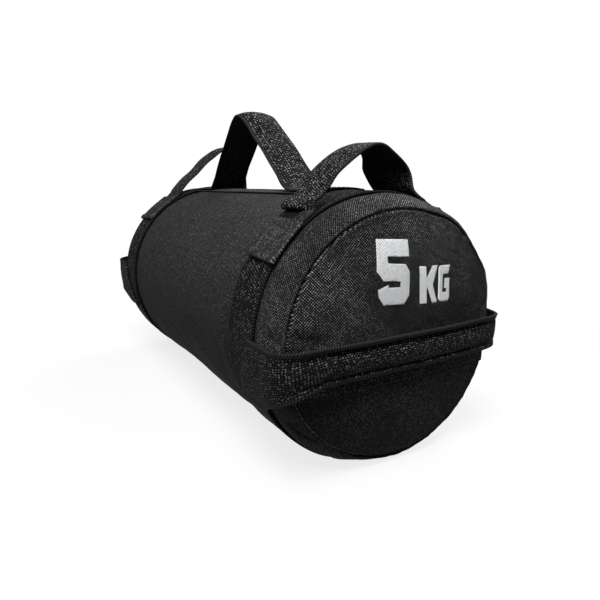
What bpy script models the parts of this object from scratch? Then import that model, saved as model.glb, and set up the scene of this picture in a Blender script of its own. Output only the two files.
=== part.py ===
"""Weighted gym bag: a filled fabric cylinder with webbing bands and five carrying handles.

The bag lies on its flattened underside with its axis along X. Its near end, at +X,
carries the weight marking. Shapes are laid out about the bag's axis, then lifted so
that the underside of the two girth bands rests at height 0.
"""
import math

import bmesh
import bpy
from mathutils import Matrix, Vector

# Driving dimensions of the filled body, in metres
bag_radius = 0.100
seam_distance = 0.183
underside_flattening = 0.006
fabric_thickness = 0.0015
clearance = 0.0003

# Shoulder rings and end discs
shoulder_depth = 0.024
shoulder_fall = 0.0096
disc_dome = 0.0036
# how far along the shoulder, and how far in towards its mouth, each ring of it lies
shoulder_shares = ((0.0, 0.0), (0.22, 0.07), (0.5, 0.30), (0.8, 0.67), (1.0, 1.0))
# radius and height shares of the domed disc, from its rim to its middle
dome_shares = ((1.0, 0.0), (0.93, 0.38), (0.72, 0.66), (0.42, 0.88), (0.16, 0.98), (0.0, 1.0))

# Webbing
band_width = 0.040
band_thickness = 0.0018
webbing_width = 0.038
webbing_thickness = 0.0020

# Cross handles, over the top at each girth band; angles in degrees about the bag's axis
cross_near_foot_angle = 27.5
cross_far_foot_angle = 25.0
cross_near_turn = 2.5
cross_seat_lift = 0.0013
cross_near_rise = 0.0420
cross_far_rise = 0.0505
tab_near_start_angle = 34.0
tab_near_end_angle = 54.5
tab_far_start_angle = 28.5
tab_far_end_angle = 49.0
# sideways and upward shares of the arches, from the foot on the photographed side
near_arch_shares = ((-1.0, 0.0), (-0.965, 0.16), (-0.86, 0.31), (-0.72, 0.46), (-0.56, 0.62),
                    (-0.306, 0.81), (-0.07, 0.943), (0.12, 1.0), (0.29, 0.955), (0.47, 0.79),
                    (0.62, 0.59), (0.76, 0.42), (0.89, 0.28), (0.975, 0.15), (1.0, 0.0))
far_arch_shares = ((-1.0, 0.0), (-1.04, 0.22), (-0.84, 0.45), (-0.52, 0.66), (-0.12, 0.89),
                   (0.28, 1.0), (0.62, 0.93), (0.86, 0.68), (0.98, 0.32), (1.0, 0.0))

# Top handle, lengthways along the top
top_near_foot = 0.083
top_far_foot = -0.097
top_rise = 0.0690
top_seat_lift = 0.0016
top_foot_gap = 0.0016
top_foot_setback = 0.0032
# shares of the way from the far foot to the near foot, and of the rise
top_arch_shares = ((0.0, 0.0), (0.035, 0.10), (0.14, 0.41), (0.235, 0.65), (0.315, 0.86), (0.36, 0.955),
                   (0.405, 1.0), (0.46, 0.965), (0.54, 0.84), (0.66, 0.61), (0.77, 0.395), (0.87, 0.18),
                   (0.955, 0.04), (1.0, 0.0))

# End handles, level across each end, of wider webbing gathered towards their middle
end_webbing_width = 0.050
end_near_height = -0.018
end_far_height = -0.010
end_handle_reach = 0.0435
end_handle_gather = 0.0260
end_handle_lift = 0.0001
end_patch_length = 0.0385
# outward and sideways shares of the handle's run, from the foot on the photographed side
end_run_shares = ((0.0, -1.0), (0.30, -1.0), (0.60, -0.996), (0.80, -0.965), (0.94, -0.875),
                  (0.99, -0.70), (1.0, -0.36), (1.0, 0.0), (0.975, 0.35), (0.935, 0.57), (0.87, 0.755),
                  (0.77, 0.86), (0.63, 0.92), (0.44, 0.957), (0.25, 0.98), (0.10, 0.998), (0.0, 1.0))
end_strip_offset = 0.006
end_strip_half_run = 0.0830
end_strip_ease = 0.0002

# How far each handle can swing each way, in degrees; its feet are cut back for it
upright_swing = 25.0
near_cross_swing = 20.0
end_swing = 10.0
swing_margin = 3.0

# Filling and its inner bag
liner_thickness = 0.0008
liner_ease = 0.0010
liner_setback = 0.0040
liner_end_slack = 0.0011
liner_back_share = 0.35
liner_neck_radius = 0.0125
tie_radius = 0.00125

# Smoothness: facets round the bag, steps along a handle and across it
facets_round = 64
handle_steps = 30
short_steps = 6
across_steps = 4

underside_depth = bag_radius - underside_flattening
axis_height = underside_depth + clearance + band_thickness
disc_radius = bag_radius - shoulder_fall - clearance
band_radius = bag_radius + clearance + band_thickness
sewn_radius = band_radius + clearance + webbing_thickness / 2
disc_rim_distance = seam_distance + shoulder_depth + clearance * 2 + fabric_thickness
liner_reach = disc_rim_distance - fabric_thickness - liner_end_slack
liner_back = seam_distance + liner_back_share * shoulder_depth
neck_middle = (liner_back + liner_reach) / 2
fill_inset = liner_thickness + clearance
grid_half = 1.0


def clear_scene():
    """Removes whatever the scene holds."""
    for old in list(bpy.data.objects):
        bpy.data.objects.remove(old)


def bag_collection():
    """Makes the collection that holds every piece of the bag."""
    collection = bpy.data.collections.new("weighted_bag")
    bpy.context.scene.collection.children.link(collection)
    return collection


def surface(name, colour, roughness):
    """Makes a piece's own material."""
    material = bpy.data.materials.new(name)
    material.use_nodes = True
    shader = material.node_tree.nodes["Principled BSDF"]
    shader.inputs["Base Color"].default_value = (*colour, 1.0)
    shader.inputs["Roughness"].default_value = roughness
    shader.inputs["Metallic"].default_value = 0.0
    material.diffuse_color = (*colour, 1.0)
    return material


def sleeve_look(name):
    """Fine black fabric of the barrel, with a slight sheen."""
    return surface(name, (0.030, 0.030, 0.034), 0.62)


def oxford_look(name):
    """Coarser woven black fabric of the ends."""
    return surface(name, (0.034, 0.034, 0.040), 0.74)


def webbing_look(name):
    """Black woven strap."""
    return surface(name, (0.040, 0.040, 0.043), 0.80)


def liner_look(name):
    """Grey woven plastic of the inner bag."""
    return surface(name, (0.30, 0.30, 0.29), 0.60)


def granulate_look(name):
    """Dark loose filling."""
    return surface(name, (0.055, 0.052, 0.050), 0.90)


def finish_piece(form, name, material, collection, origin):
    """Turns a bmesh laid out about the bag's axis into a smooth-shaded object at its origin."""
    bmesh.ops.translate(form, verts=form.verts, vec=-origin)
    mesh = bpy.data.meshes.new(name)
    form.to_mesh(mesh)
    form.free()
    mesh.materials.append(material)
    mesh.shade_smooth()
    piece = bpy.data.objects.new(name, mesh)
    piece.location = origin + Vector((0, 0, axis_height))
    collection.objects.link(piece)
    return piece


def thicken(piece, thickness, side):
    """Gives an open surface its thickness: side -1 is inwards, 0 both ways."""
    solid = piece.modifiers.new("thickness", "SOLIDIFY")
    solid.thickness = thickness
    solid.offset = side
    solid.use_even_offset = True
    return piece


def settle(form, depth):
    """Flattens the underside, as far below the axis as depth."""
    for vertex in form.verts:
        vertex.co.z = max(vertex.co.z, -depth)


def turned(profile, capped):
    """Spins a profile of (along, radius) points about the bag's axis."""
    form = bmesh.new()
    line = [form.verts.new((along, 0, radius)) for along, radius in profile]
    edges = [form.edges.new(pair) for pair in zip(line, line[1:])]
    bmesh.ops.spin(form, geom=line + edges, cent=(0, 0, 0), axis=(1, 0, 0), dvec=(0, 0, 0),
                   angle=math.tau, steps=facets_round, use_merge=True)
    if capped:
        bmesh.ops.remove_doubles(form, verts=form.verts, dist=clearance / facets_round)
    bmesh.ops.recalc_face_normals(form, faces=form.faces)
    return form


def turned_shell(name, profile, depth, thickness, material, collection, capped=False):
    """Spins a profile that runs towards +X into a shell, with its outside where the profile is."""
    form = turned(profile, capped)
    face = max(form.faces, key=lambda candidate: candidate.calc_center_median().z)
    outward = face.calc_center_median() - Vector((face.calc_center_median().x, 0, 0))
    if face.normal.dot(outward) < 0:
        bmesh.ops.reverse_faces(form, faces=form.faces)
    settle(form, depth)
    piece = finish_piece(form, name, material, collection, Vector((0, 0, 0)))
    return thicken(piece, thickness, -1)


def side_sign(end):
    """Tells which way along X an end of the bag lies."""
    return 1 if end == "near" else -1


def barrel_sleeve(collection):
    """The plain fabric tube between the two shoulder seams."""
    reach = seam_distance - clearance / 2
    profile = ((-reach, bag_radius), (reach, bag_radius))
    turned_shell("barrel_sleeve", profile, underside_depth, fabric_thickness,
                 sleeve_look("barrel_sleeve"), collection)


def shoulder(end, collection):
    """The woven ring between the barrel and the end disc."""
    sign = side_sign(end)
    start = seam_distance + clearance / 2
    profile = [(sign * (start + along * shoulder_depth), bag_radius - inward * shoulder_fall)
               for along, inward in shoulder_shares]
    name = end + "_shoulder"
    turned_shell(name, profile, underside_depth, fabric_thickness, oxford_look(name), collection)


def dome_height(radius):
    """How far the disc bulges past its rim at a radius from its middle."""
    share = min(radius / disc_radius, 1)
    for outer, inner in zip(dome_shares, dome_shares[1:]):
        if share >= inner[0]:
            part = (share - inner[0]) / (outer[0] - inner[0])
            return disc_dome * (inner[1] + part * (outer[1] - inner[1]))
    return disc_dome


def end_disc(end, collection):
    """The slightly domed round panel that closes an end."""
    sign = side_sign(end)
    profile = [(sign * (disc_rim_distance + rise * disc_dome), out * disc_radius)
               for out, rise in dome_shares]
    form = turned(profile, True)
    middle = max(form.faces, key=lambda candidate: sign * candidate.calc_center_median().x)
    if middle.normal.x * sign < 0:
        bmesh.ops.reverse_faces(form, faces=form.faces)
    name = end + "_end_disc"
    piece = finish_piece(form, name, oxford_look(name), collection, Vector((0, 0, 0)))
    thicken(piece, fabric_thickness, -1)


def girth_band(end, collection):
    """The webbing band round the barrel beside a shoulder seam."""
    sign = side_sign(end)
    outer = seam_distance - clearance / 2
    profile = ((sign * (outer - band_width), band_radius), (sign * outer, band_radius))
    name = end + "_girth_band"
    turned_shell(name, profile, underside_depth + clearance + band_thickness, band_thickness,
                 webbing_look(name), collection)


def ribbon(name, place, steps, thickness, collection, origin=None):
    """A webbing piece: a grid laid by place(along, across), thickened both ways."""
    form = bmesh.new()
    bmesh.ops.create_grid(form, x_segments=steps, y_segments=across_steps, size=grid_half)
    for vertex in form.verts:
        along = (vertex.co.x + grid_half) / (2 * grid_half)
        vertex.co = place(along, vertex.co.y / grid_half)
    piece = finish_piece(form, name, webbing_look(name), collection, origin or Vector((0, 0, 0)))
    return thicken(piece, thickness, 0)


def smooth_path(points, samples=240):
    """Runs an even curve through points; returns its length and a lookup by distance."""
    chain = [points[0] * 2 - points[1]] + list(points) + [points[-1] * 2 - points[-2]]
    dense = []
    for before, start, end, after in zip(chain, chain[1:], chain[2:], chain[3:]):
        for step in range(samples // len(points)):
            part = step * len(points) / samples
            curve = (start * 2 + (end - before) * part
                     + (before * 2 - start * 5 + end * 4 - after) * part ** 2
                     + (start * 3 - before - end * 3 + after) * part ** 3)
            dense.append(curve / 2)
    dense.append(points[-1])
    distances = [0]
    for first, second in zip(dense, dense[1:]):
        distances.append(distances[-1] + (second - first).length)

    def at(distance):
        for index in range(1, len(dense)):
            if distance <= distances[index] or index == len(dense) - 1:
                span = distances[index] - distances[index - 1]
                part = (distance - distances[index - 1]) / span
                return dense[index - 1].lerp(dense[index], part)
        return dense[-1]

    return distances[-1], at


def cut_back(half_width, swing, rise, first, second):
    """Length a strap's foot is cut back at the strap's edges, so that it can swing.

    The strap runs from first to second at its foot, and leaves the hinge line along rise.
    """
    steepness = (second - first).normalized().dot(rise)
    return half_width * math.tan(math.radians(swing + swing_margin)) / steepness


def arch_points(end):
    """Middle line of a cross handle, in the plane across the bag, before its turn."""
    shares = near_arch_shares if end == "near" else far_arch_shares
    rise = cross_near_rise if end == "near" else cross_far_rise
    foot = band_radius + cross_seat_lift
    angle = math.radians(cross_near_foot_angle if end == "near" else cross_far_foot_angle)
    half_span = foot * math.sin(angle)
    base = foot * math.cos(angle)
    middle = side_sign(end) * (seam_distance - band_width / 2)
    return [Vector((middle, side * half_span, base + up * rise)) for side, up in shares]


def cross_turn(end):
    """Turn of a cross handle about the bag's axis, towards the photographed side."""
    turn = cross_near_turn if end == "near" else 0
    return Matrix.Rotation(math.radians(turn), 4, "X")


def cross_handle(end, collection):
    """Webbing loop over the top of a girth band; it swings about the line through its feet."""
    points = arch_points(end)
    length, at = smooth_path(points)
    turn = cross_turn(end)
    half_width = webbing_width / 2
    swing = near_cross_swing if end == "near" else upright_swing
    start_cut, end_cut = [
        cut_back(half_width, swing, Vector((0, foot.y, foot.z)) / foot.z, foot, leg)
        for foot, leg in ((points[0], points[2]), (points[-1], points[-3]))]

    def place(along, across):
        first = abs(across) * start_cut
        last = length - abs(across) * end_cut
        point = at(first + along * (last - first))
        return turn @ (point + Vector((across * half_width, 0, 0)))

    hinge = turn @ Vector((points[0].x, 0, points[0].z))
    ribbon(end + "_cross_handle", place, handle_steps, webbing_thickness, collection, hinge)


def cross_tab(end, side, collection):
    """Sewn tab that holds one foot of a cross handle down on the girth band."""
    turn = cross_turn(end)
    sign = -1 if side == "left" else 1
    middle = side_sign(end) * (seam_distance - band_width / 2)
    start = tab_near_start_angle if end == "near" else tab_far_start_angle
    finish = tab_near_end_angle if end == "near" else tab_far_end_angle

    def place(along, across):
        angle = math.radians(start + along * (finish - start))
        return turn @ Vector((middle + across * webbing_width / 2,
                              sign * sewn_radius * math.sin(angle),
                              sewn_radius * math.cos(angle)))

    ribbon(end + "_cross_tab_" + side, place, short_steps, webbing_thickness, collection)


def top_runner(collection):
    """Webbing strip sewn along the top of the barrel, between the girth bands."""
    reach = seam_distance - band_width - clearance * 2
    radius = bag_radius + clearance + band_thickness / 2

    def place(along, across):
        angle = across * webbing_width / 2 / bag_radius
        return Vector((reach * (2 * along - 1), radius * math.sin(angle), radius * math.cos(angle)))

    ribbon("top_runner", place, short_steps, band_thickness, collection)


def top_foot(end, collection):
    """Sewn end of the top handle, flat on the runner."""
    start = top_near_foot + top_foot_gap if end == "near" else top_far_foot - top_foot_gap
    finish = side_sign(end) * (seam_distance - band_width - clearance - top_foot_setback)

    def place(along, across):
        angle = across * webbing_width / 2 / bag_radius
        return Vector((start + along * (finish - start), sewn_radius * math.sin(angle),
                       sewn_radius * math.cos(angle)))

    ribbon("top_handle_" + end + "_foot", place, short_steps, webbing_thickness, collection)


def top_handle(collection):
    """Webbing loop lengthways over the top; it swings sideways about the line through its feet."""
    base = band_radius + top_seat_lift
    span = top_near_foot - top_far_foot
    points = [Vector((top_far_foot + along * span, 0, base + up * top_rise))
              for along, up in top_arch_shares]
    length, at = smooth_path(points)
    half_width = webbing_width / 2
    start_cut = cut_back(half_width, upright_swing, Vector((0, 0, 1)), points[0], points[2])
    end_cut = cut_back(half_width, upright_swing, Vector((0, 0, 1)), points[-1], points[-3])

    def place(along, across):
        first = abs(across) * start_cut
        last = length - abs(across) * end_cut
        return at(first + along * (last - first)) + Vector((0, across * half_width, 0))

    hinge = Vector(((top_near_foot + top_far_foot) / 2, 0, base))
    ribbon("top_handle", place, handle_steps, webbing_thickness, collection, hinge)


def round_side(height, radius):
    """How far from the bag's middle plane its side lies at a height, on a given radius."""
    return math.sqrt(radius ** 2 - height ** 2)


def end_height(end):
    """Height of an end handle's feet about the bag's axis."""
    return end_near_height if end == "near" else end_far_height


def end_patch(end, side, collection):
    """Sewn end of an end handle, flat on the side of the girth band."""
    sign = side_sign(end)
    way = -1 if side == "left" else 1
    outer = seam_distance - clearance

    def place(along, across):
        height = end_height(end) + across * end_webbing_width / 2
        return Vector((sign * (outer - along * end_patch_length),
                       way * round_side(height, sewn_radius), height))

    ribbon(end + "_end_patch_" + side, place, short_steps, webbing_thickness, collection)


def end_handle(end, collection):
    """Webbing loop level across an end; it swings up and down about the line through its feet."""
    sign = side_sign(end)
    start = seam_distance + end_handle_lift
    points = [Vector((start + out * end_handle_reach, side * sewn_radius, 0))
              for out, side in end_run_shares]
    length, at = smooth_path(points)
    half_width = end_webbing_width / 2
    foot_height = end_height(end)
    start_cut = cut_back(half_width, end_swing, Vector((1, 0, 0)), points[0], points[1])
    end_cut = cut_back(half_width, end_swing, Vector((1, 0, 0)), points[-1], points[-2])

    def place(along, across):
        first = abs(across) * start_cut
        last = length - abs(across) * end_cut
        run = first + along * (last - first)
        point = at(run)
        middle_share = 1 - abs(2 * run / length - 1)
        gathered = min(1, middle_share * 2)
        height = across * half_width
        gather = end_handle_gather * gathered * (1 - across) / 2
        hollow = sewn_radius - round_side(foot_height + height, sewn_radius)
        wrap = max(0, 1 - middle_share * 3) * hollow
        side = point.y - math.copysign(wrap, point.y)
        return Vector((sign * point.x, side, foot_height + height + gather))

    hinge = Vector((sign * start, 0, foot_height))
    ribbon(end + "_end_handle", place, handle_steps, webbing_thickness, collection, hinge)


def end_strip(end, collection):
    """Webbing strip sewn flat across an end disc, behind the end handle."""
    sign = side_sign(end)

    def place(along, across):
        side = end_strip_half_run * (2 * along - 1)
        height = end_height(end) + end_strip_offset + across * webbing_width / 2
        bulge = dome_height(math.hypot(side, height))
        out = disc_rim_distance + bulge + clearance + end_strip_ease + webbing_thickness / 2
        return Vector((sign * out, side, height))

    ribbon(end + "_end_strip", place, handle_steps, webbing_thickness, collection)


def liner_profile(inset):
    """Outside of the inner bag, from its near end to its gathered far end, less an inset."""
    radius = bag_radius - fabric_thickness - clearance - inset
    profile = [(liner_reach - inset, 0)]
    profile += [(seam_distance + along * (shoulder_depth - liner_end_slack) - inset,
                 radius - liner_ease - inward * shoulder_fall) for along, inward in reversed(shoulder_shares)]
    profile += [(seam_distance - liner_setback - inset, radius),
                (liner_setback - seam_distance + inset, radius),
                (inset - liner_back, radius - liner_ease - liner_back_share * shoulder_fall)]
    return profile


def inner_liner(collection):
    """Inner bag that holds the filling, gathered to an open neck at the far end."""
    neck = [(-place, liner_neck_radius) for place in (liner_back, neck_middle, liner_reach)]
    profile = liner_profile(0) + neck
    depth = underside_depth - fabric_thickness - clearance - liner_ease
    turned_shell("inner_liner", profile, depth, liner_thickness, liner_look("inner_liner"),
                 collection, capped=True)


def liner_tie(collection):
    """Cord tied round the neck of the inner bag."""
    ring_radius = liner_neck_radius + clearance + tie_radius
    bpy.ops.mesh.primitive_torus_add(major_radius=ring_radius, minor_radius=tie_radius,
                                     major_segments=facets_round // 2,
                                     minor_segments=short_steps + across_steps)
    piece = bpy.context.object
    piece.name = "liner_tie"
    piece.data.name = "liner_tie"
    piece.rotation_euler.y = math.pi / 2
    piece.location = (-neck_middle, 0, axis_height)
    piece.data.materials.append(webbing_look("liner_tie"))
    piece.data.shade_smooth()
    piece.users_collection[0].objects.unlink(piece)
    collection.objects.link(piece)


def filling(collection):
    """The loose filling, taken as one body that fills the inner bag."""
    profile = liner_profile(fill_inset) + [(fill_inset - liner_back, 0)]
    form = turned(profile, True)
    settle(form, underside_depth - fabric_thickness - clearance - liner_ease - fill_inset)
    finish_piece(form, "filling", granulate_look("filling"), collection, Vector((0, 0, 0)))


def build():
    """Builds every piece of the bag."""
    clear_scene()
    collection = bag_collection()
    barrel_sleeve(collection)
    for end in ("near", "far"):
        shoulder(end, collection)
        end_disc(end, collection)
        girth_band(end, collection)
        cross_handle(end, collection)
        end_handle(end, collection)
        end_strip(end, collection)
        top_foot(end, collection)
        for side in ("left", "right"):
            cross_tab(end, side, collection)
            end_patch(end, side, collection)
    top_runner(collection)
    top_handle(collection)
    inner_liner(collection)
    liner_tie(collection)
    filling(collection)


build()
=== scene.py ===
"""Looks of the weighted bag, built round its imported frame.

A filled black cylinder lies on its side: a cloth barrel, woven ends, webbing bands and
five carrying handles. The near end, at +X, carries the weight marking. Lengths are in
metres, angles round the bag are measured from its top.
"""
import math

import bmesh
import bpy
import numpy as np
from mathutils import Matrix, Vector
from mathutils.bvhtree import BVHTree


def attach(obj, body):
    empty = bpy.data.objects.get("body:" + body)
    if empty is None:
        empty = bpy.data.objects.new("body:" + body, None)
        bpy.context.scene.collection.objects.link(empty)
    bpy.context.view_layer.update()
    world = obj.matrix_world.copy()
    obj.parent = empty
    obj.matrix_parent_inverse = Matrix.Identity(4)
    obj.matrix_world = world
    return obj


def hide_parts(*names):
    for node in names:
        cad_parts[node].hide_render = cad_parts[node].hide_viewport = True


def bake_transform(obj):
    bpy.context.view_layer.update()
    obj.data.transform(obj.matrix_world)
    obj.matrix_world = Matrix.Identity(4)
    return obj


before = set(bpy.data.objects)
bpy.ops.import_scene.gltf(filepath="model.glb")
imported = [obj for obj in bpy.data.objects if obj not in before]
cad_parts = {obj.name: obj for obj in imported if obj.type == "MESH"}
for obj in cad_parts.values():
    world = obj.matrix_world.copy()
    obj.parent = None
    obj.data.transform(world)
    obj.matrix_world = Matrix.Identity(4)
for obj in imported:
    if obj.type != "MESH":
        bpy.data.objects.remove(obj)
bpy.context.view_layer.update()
bpy.context.scene.view_settings.view_transform = "Standard"

# sizes that the part's source gives
axis_height = 0.0961
bag_radius = 0.100
underside_depth = 0.094
seam_distance = 0.183
cloth_thickness = 0.0015
clearance = 0.0003
disc_radius = 0.0901
disc_rim = 0.2091
disc_dome = 0.0036
panel_radius = 0.0895
band_width = 0.040
band_radius = 0.1021
band_thickness = 0.0018
strap_width = 0.038
strap_thickness = 0.0020
sewn_radius = 0.1034
band_middle = seam_distance - band_width / 2
top_feet = (-0.097, 0.083)
top_rise = 0.0690
top_lift = 0.0016
cross_lift = 0.0013
end_reach = 0.0435
end_heights = {"near": -0.018, "far": -0.010}
end_half_width = 0.025
end_patch = 0.0385
end_gather = 0.0260
strip_offset = 0.0035
strip_half_width = 0.0165
strip_half_run = 0.0830
cross_rise = {"near": 0.0420, "far": 0.0505}
cross_foot = {"near": math.radians(27.5), "far": math.radians(25.0)}
cross_turn = {"near": math.radians(2.5), "far": 0.0}
tab_angles = {"near": (34.6, 53.9), "far": (27.6, 49.4)}
end_sign = {"near": 1, "far": -1}

full_turn = math.tau
millimetre = 0.001
near_tab_shift = 0.0035
panel_seed = {"near": 40, "far": 50}
shoulder_seed = {"near": 20, "far": 30}

# distances between threads, or between turns of a twist
weave_pitch = 0.00100
barrel_pitch = 0.0011
tab_pitch = 0.00125
edge_cord_pitch = 0.0021
liner_pitch = 0.0026
tie_pitch = 0.0016

# the blown-out skin: how far inside the bag it starts, and how far it may stand off
skin_inset = 0.0020
swell_cap = 0.012
swell_share = {"barrel": 0.30, "shoulder": 0.45, "panel": 0.34}

# the photograph's camera
film_width, focal_length = 36.0, 32.4
camera_place = (0.4948, -0.2432, 0.2044)
camera_back = (0.8488, -0.4839, 0.2130)
camera_right = (0.4970, 0.8677, -0.0094)

# each lamp: place, what it faces, size and watts
softboxes = {
    "overhead_softbox": ((0.62, -0.44, 1.24), (0.05, 0, 0.1), 0.7, 23.5),
    "front_softbox": ((1.30, -0.45, 0.62), (0.1, 0, 0.1), 0.8, 1.2),
    "back_softbox": ((-0.7, 1.0, 1.0), (0, 0, 0.15), 0.9, 15.0)}


# ---------------------------------------------------------------- camera

def place_camera():
    """Sets the camera where the photograph was taken from."""
    data = bpy.data.cameras.new("photo_camera")
    data.sensor_width, data.lens = film_width, focal_length
    data.clip_start, data.clip_end = 0.01, 20
    camera = put_in_scene("photo_camera", data)
    back = Vector(camera_back).normalized()
    right = Vector(camera_right)
    right = (right - back * right.dot(back)).normalized()
    turn = Matrix((right, back.cross(right), back)).transposed().to_4x4()
    camera.matrix_world = Matrix.Translation(camera_place) @ turn
    bpy.context.scene.camera = camera


# ---------------------------------------------------------------- finishes

def joined(operation, turned=False):
    """A method that adds one Math node; turned puts its own value last."""
    def join(self, *others):
        """Adds the node, and gives its result."""
        values = (*others, self) if turned else (self, *others)
        return self.finish.node("Math", {"operation": operation}, dict(enumerate(values)))
    return join


class Signal:
    """A number on a shader socket; sums on signals add Math nodes."""

    def __init__(self, finish, socket):
        self.finish = finish
        self.socket = socket

    __add__, __radd__ = joined("ADD"), joined("ADD", True)
    __sub__, __rsub__ = joined("SUBTRACT"), joined("SUBTRACT", True)
    __mul__, __rmul__ = joined("MULTIPLY"), joined("MULTIPLY", True)
    __truediv__ = joined("DIVIDE")
    sine, floor, size = joined("SINE"), joined("FLOOR"), joined("ABSOLUTE")
    most, least = joined("MAXIMUM"), joined("MINIMUM")

    def ramp(self, low, high):
        """Runs smoothly from 0 to 1 as the value goes from low to high."""
        return self.finish.node("MapRange", {"interpolation_type": "SMOOTHSTEP"},
                                {"Value": self, "From Min": low, "From Max": high})


class Nodes:
    """The nodes of a material or of the world."""

    def __init__(self, tree):
        self.tree = tree

    def node(self, kind, settings=(), sockets=(), output=0):
        """Adds a node: its settings first, then its sockets' values or links."""
        made = self.tree.nodes.new("ShaderNode" + kind)
        for setting, value in dict(settings).items():
            setattr(made, setting, value)
        for socket, value in dict(sockets).items():
            self.put(made.inputs[socket], value)
        return Signal(self, made.outputs[output])

    def put(self, socket, value):
        """Links a signal to a socket, or sets the socket's own value."""
        if isinstance(value, Signal):
            self.tree.links.new(value.socket, socket)
        else:
            socket.default_value = value

    def rays(self, *kinds):
        """1 for rays of these kinds, else 0."""
        path = self.tree.nodes.new("ShaderNodeLightPath")
        first, *others = (Signal(self, path.outputs["Is " + kind + " Ray"]) for kind in kinds)
        for other in others:
            first = first.most(other)
        return first


class Finish(Nodes):
    """A material of one Principled surface, with what its looks need."""

    def __init__(self, name, **constants):
        self.material = bpy.data.materials.new(name)
        self.material.use_nodes = True
        super().__init__(self.material.node_tree)
        self.shader = self.tree.nodes["Principled BSDF"]
        for socket, value in constants.items():
            self.shader.inputs[socket.replace("_", " ")].default_value = value

    def cloth(self):
        """Place on the cloth in metres: along it, across it, and how much painted shade it takes,
        normally 0 outside and 1 inside.
        """
        place = self.node("Attribute", {"attribute_name": "cloth"}, output="Vector")
        parts = self.tree.nodes.new("ShaderNodeSeparateXYZ")
        self.put(parts.inputs[0], place)
        return (place, *(Signal(self, parts.outputs[axis]) for axis in range(3)))

    def place(self):
        """Place in the object's own space."""
        return self.node("TexCoord", output="Object")

    def noise(self, place, scale, detail=2.0, roughness=0.5):
        """Soft random value from 0 to 1."""
        return self.node("TexNoise", (), {"Vector": place, "Scale": scale, "Detail": detail,
                                          "Roughness": roughness})

    def chance(self, along, across):
        """Random value of its own for each whole-numbered cell."""
        cell = self.node("CombineXYZ", (), {"X": along.floor(), "Y": across.floor()})
        return self.node("TexWhiteNoise", {"noise_dimensions": "2D"}, {"Vector": cell})

    def woven(self, warp, weft):
        """Plain weave from -1 to 1, counted in threads both ways."""
        return (warp * math.pi).sine() * (weft * math.pi).sine()

    def shaded(self, tone, most):
        """A tone darkened towards the floor, by at most the share most: painted shade, as light
        falls off downward.
        """
        up = self.node("SeparateXYZ", (), {"Vector": self.place()}, output="Z")
        return self.mix((1 - up.ramp(0.025, 0.165)) * most, tone, grey(0.003))

    def mix(self, share, first, second):
        """Colour between two, by share."""
        return self.node("Mix", {"data_type": "RGBA"}, {"Factor": share, 6: first, 7: second},
                         output=2)

    def finish(self, colour, roughness, height, depth):
        """Feeds the surface: its colour, its roughness, and its relief of a depth in metres."""
        bump = self.node("Bump", (), {"Height": height, "Strength": 1.0, "Distance": depth})
        self.put(self.shader.inputs["Base Color"], colour)
        self.put(self.shader.inputs["Roughness"], roughness)
        self.put(self.shader.inputs["Normal"], bump)
        return self.material


def grey(level, warmth=0.0):
    """A grey, a little warmer or cooler."""
    return (level * (1 + warmth), level, level * (1 - warmth), 1.0)


def black_cloth(name, specular):
    """A dull black material with hardly any sheen."""
    return Finish(name, Sheen_Weight=0.01, Sheen_Roughness=0.5, Specular_IOR_Level=specular)


def barrel_finish():
    """Fine black cloth: speckled grain, lint and pale scuffs."""
    look = black_cloth("barrel_cloth", 0.05)
    place, along, across, _ = look.cloth()
    turns = full_turn / barrel_pitch
    grain = (along * turns).sine() * (across * turns).sine()
    cloud = look.noise(place, 13, 4, 0.6)
    fluff = look.noise(place, 620, 2, 0.7)
    blotch = look.noise(place, 130, 3, 0.6)
    lint = look.noise(place, 520, 1).ramp(0.58, 0.68) * look.noise(place, 150, 2).ramp(0.35, 0.60)
    scuff = look.noise(place, 260, 4, 0.8).ramp(0.54, 0.76)
    scuff = scuff * look.noise(place, 12, 2).ramp(0.42, 0.70)
    tone = look.mix(cloud.ramp(0.28, 0.72), grey(0.009, -0.05), grey(0.017, -0.03))
    tone = look.mix(fluff.ramp(0.38, 0.62) * (0.45 + blotch.ramp(0.3, 0.7) * 0.55), tone,
                    grey(0.056, -0.01))
    tone = look.mix(lint * 0.31 + scuff * 0.31, tone, grey(0.26))
    height = grain * 0.25 + fluff + cloud * 0.6
    # the barrel's tone takes painted shade towards the floor
    return look.finish(look.shaded(tone, 0.62), 0.72 + cloud * 0.14 - lint * 0.1, height, 0.00028)


def oxford_finish():
    """Woven black cloth of the ends: a plain weave with painted glints on its crossings."""
    look = black_cloth("oxford_cloth", 0.06)
    place, along, across, _ = look.cloth()
    waver = look.noise(place, 110, 2) * 0.55 + look.noise(place, 600, 1) * 0.25
    warp, weft = along / weave_pitch + waver, across / weave_pitch + waver
    weave = look.woven(warp, weft)
    luck = look.chance(warp, weft)
    cloud = look.noise(place, 10, 3, 0.6).ramp(0.34, 0.66) * 0.7 + look.noise(place, 34, 3) * 0.3
    fleck = look.noise(place, 560, 1).ramp(0.57, 0.68) * look.noise(place, 140, 2).ramp(0.35, 0.6)
    raised = weave.ramp(0.0, 0.75)
    # painted glints on the raised crossings
    painted_glint = (0.25 + luck.ramp(0.2, 1.0) * 0.75) * raised
    tone = look.mix(raised, grey(0.004, -0.04), grey(0.022, -0.03))
    tone = look.mix(painted_glint * (0.02 + cloud * 0.92) + fleck * 0.07, tone, grey(0.48, -0.01))
    height = weave * 0.6 + luck * 0.3 + look.noise(place, 300, 2) * 0.5
    roughness = 0.80 - painted_glint * 0.20 + cloud * 0.08
    # the oxford's tone takes painted shade towards the floor
    return look.finish(look.shaded(tone, 0.68), roughness, height, 0.00035)


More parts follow.
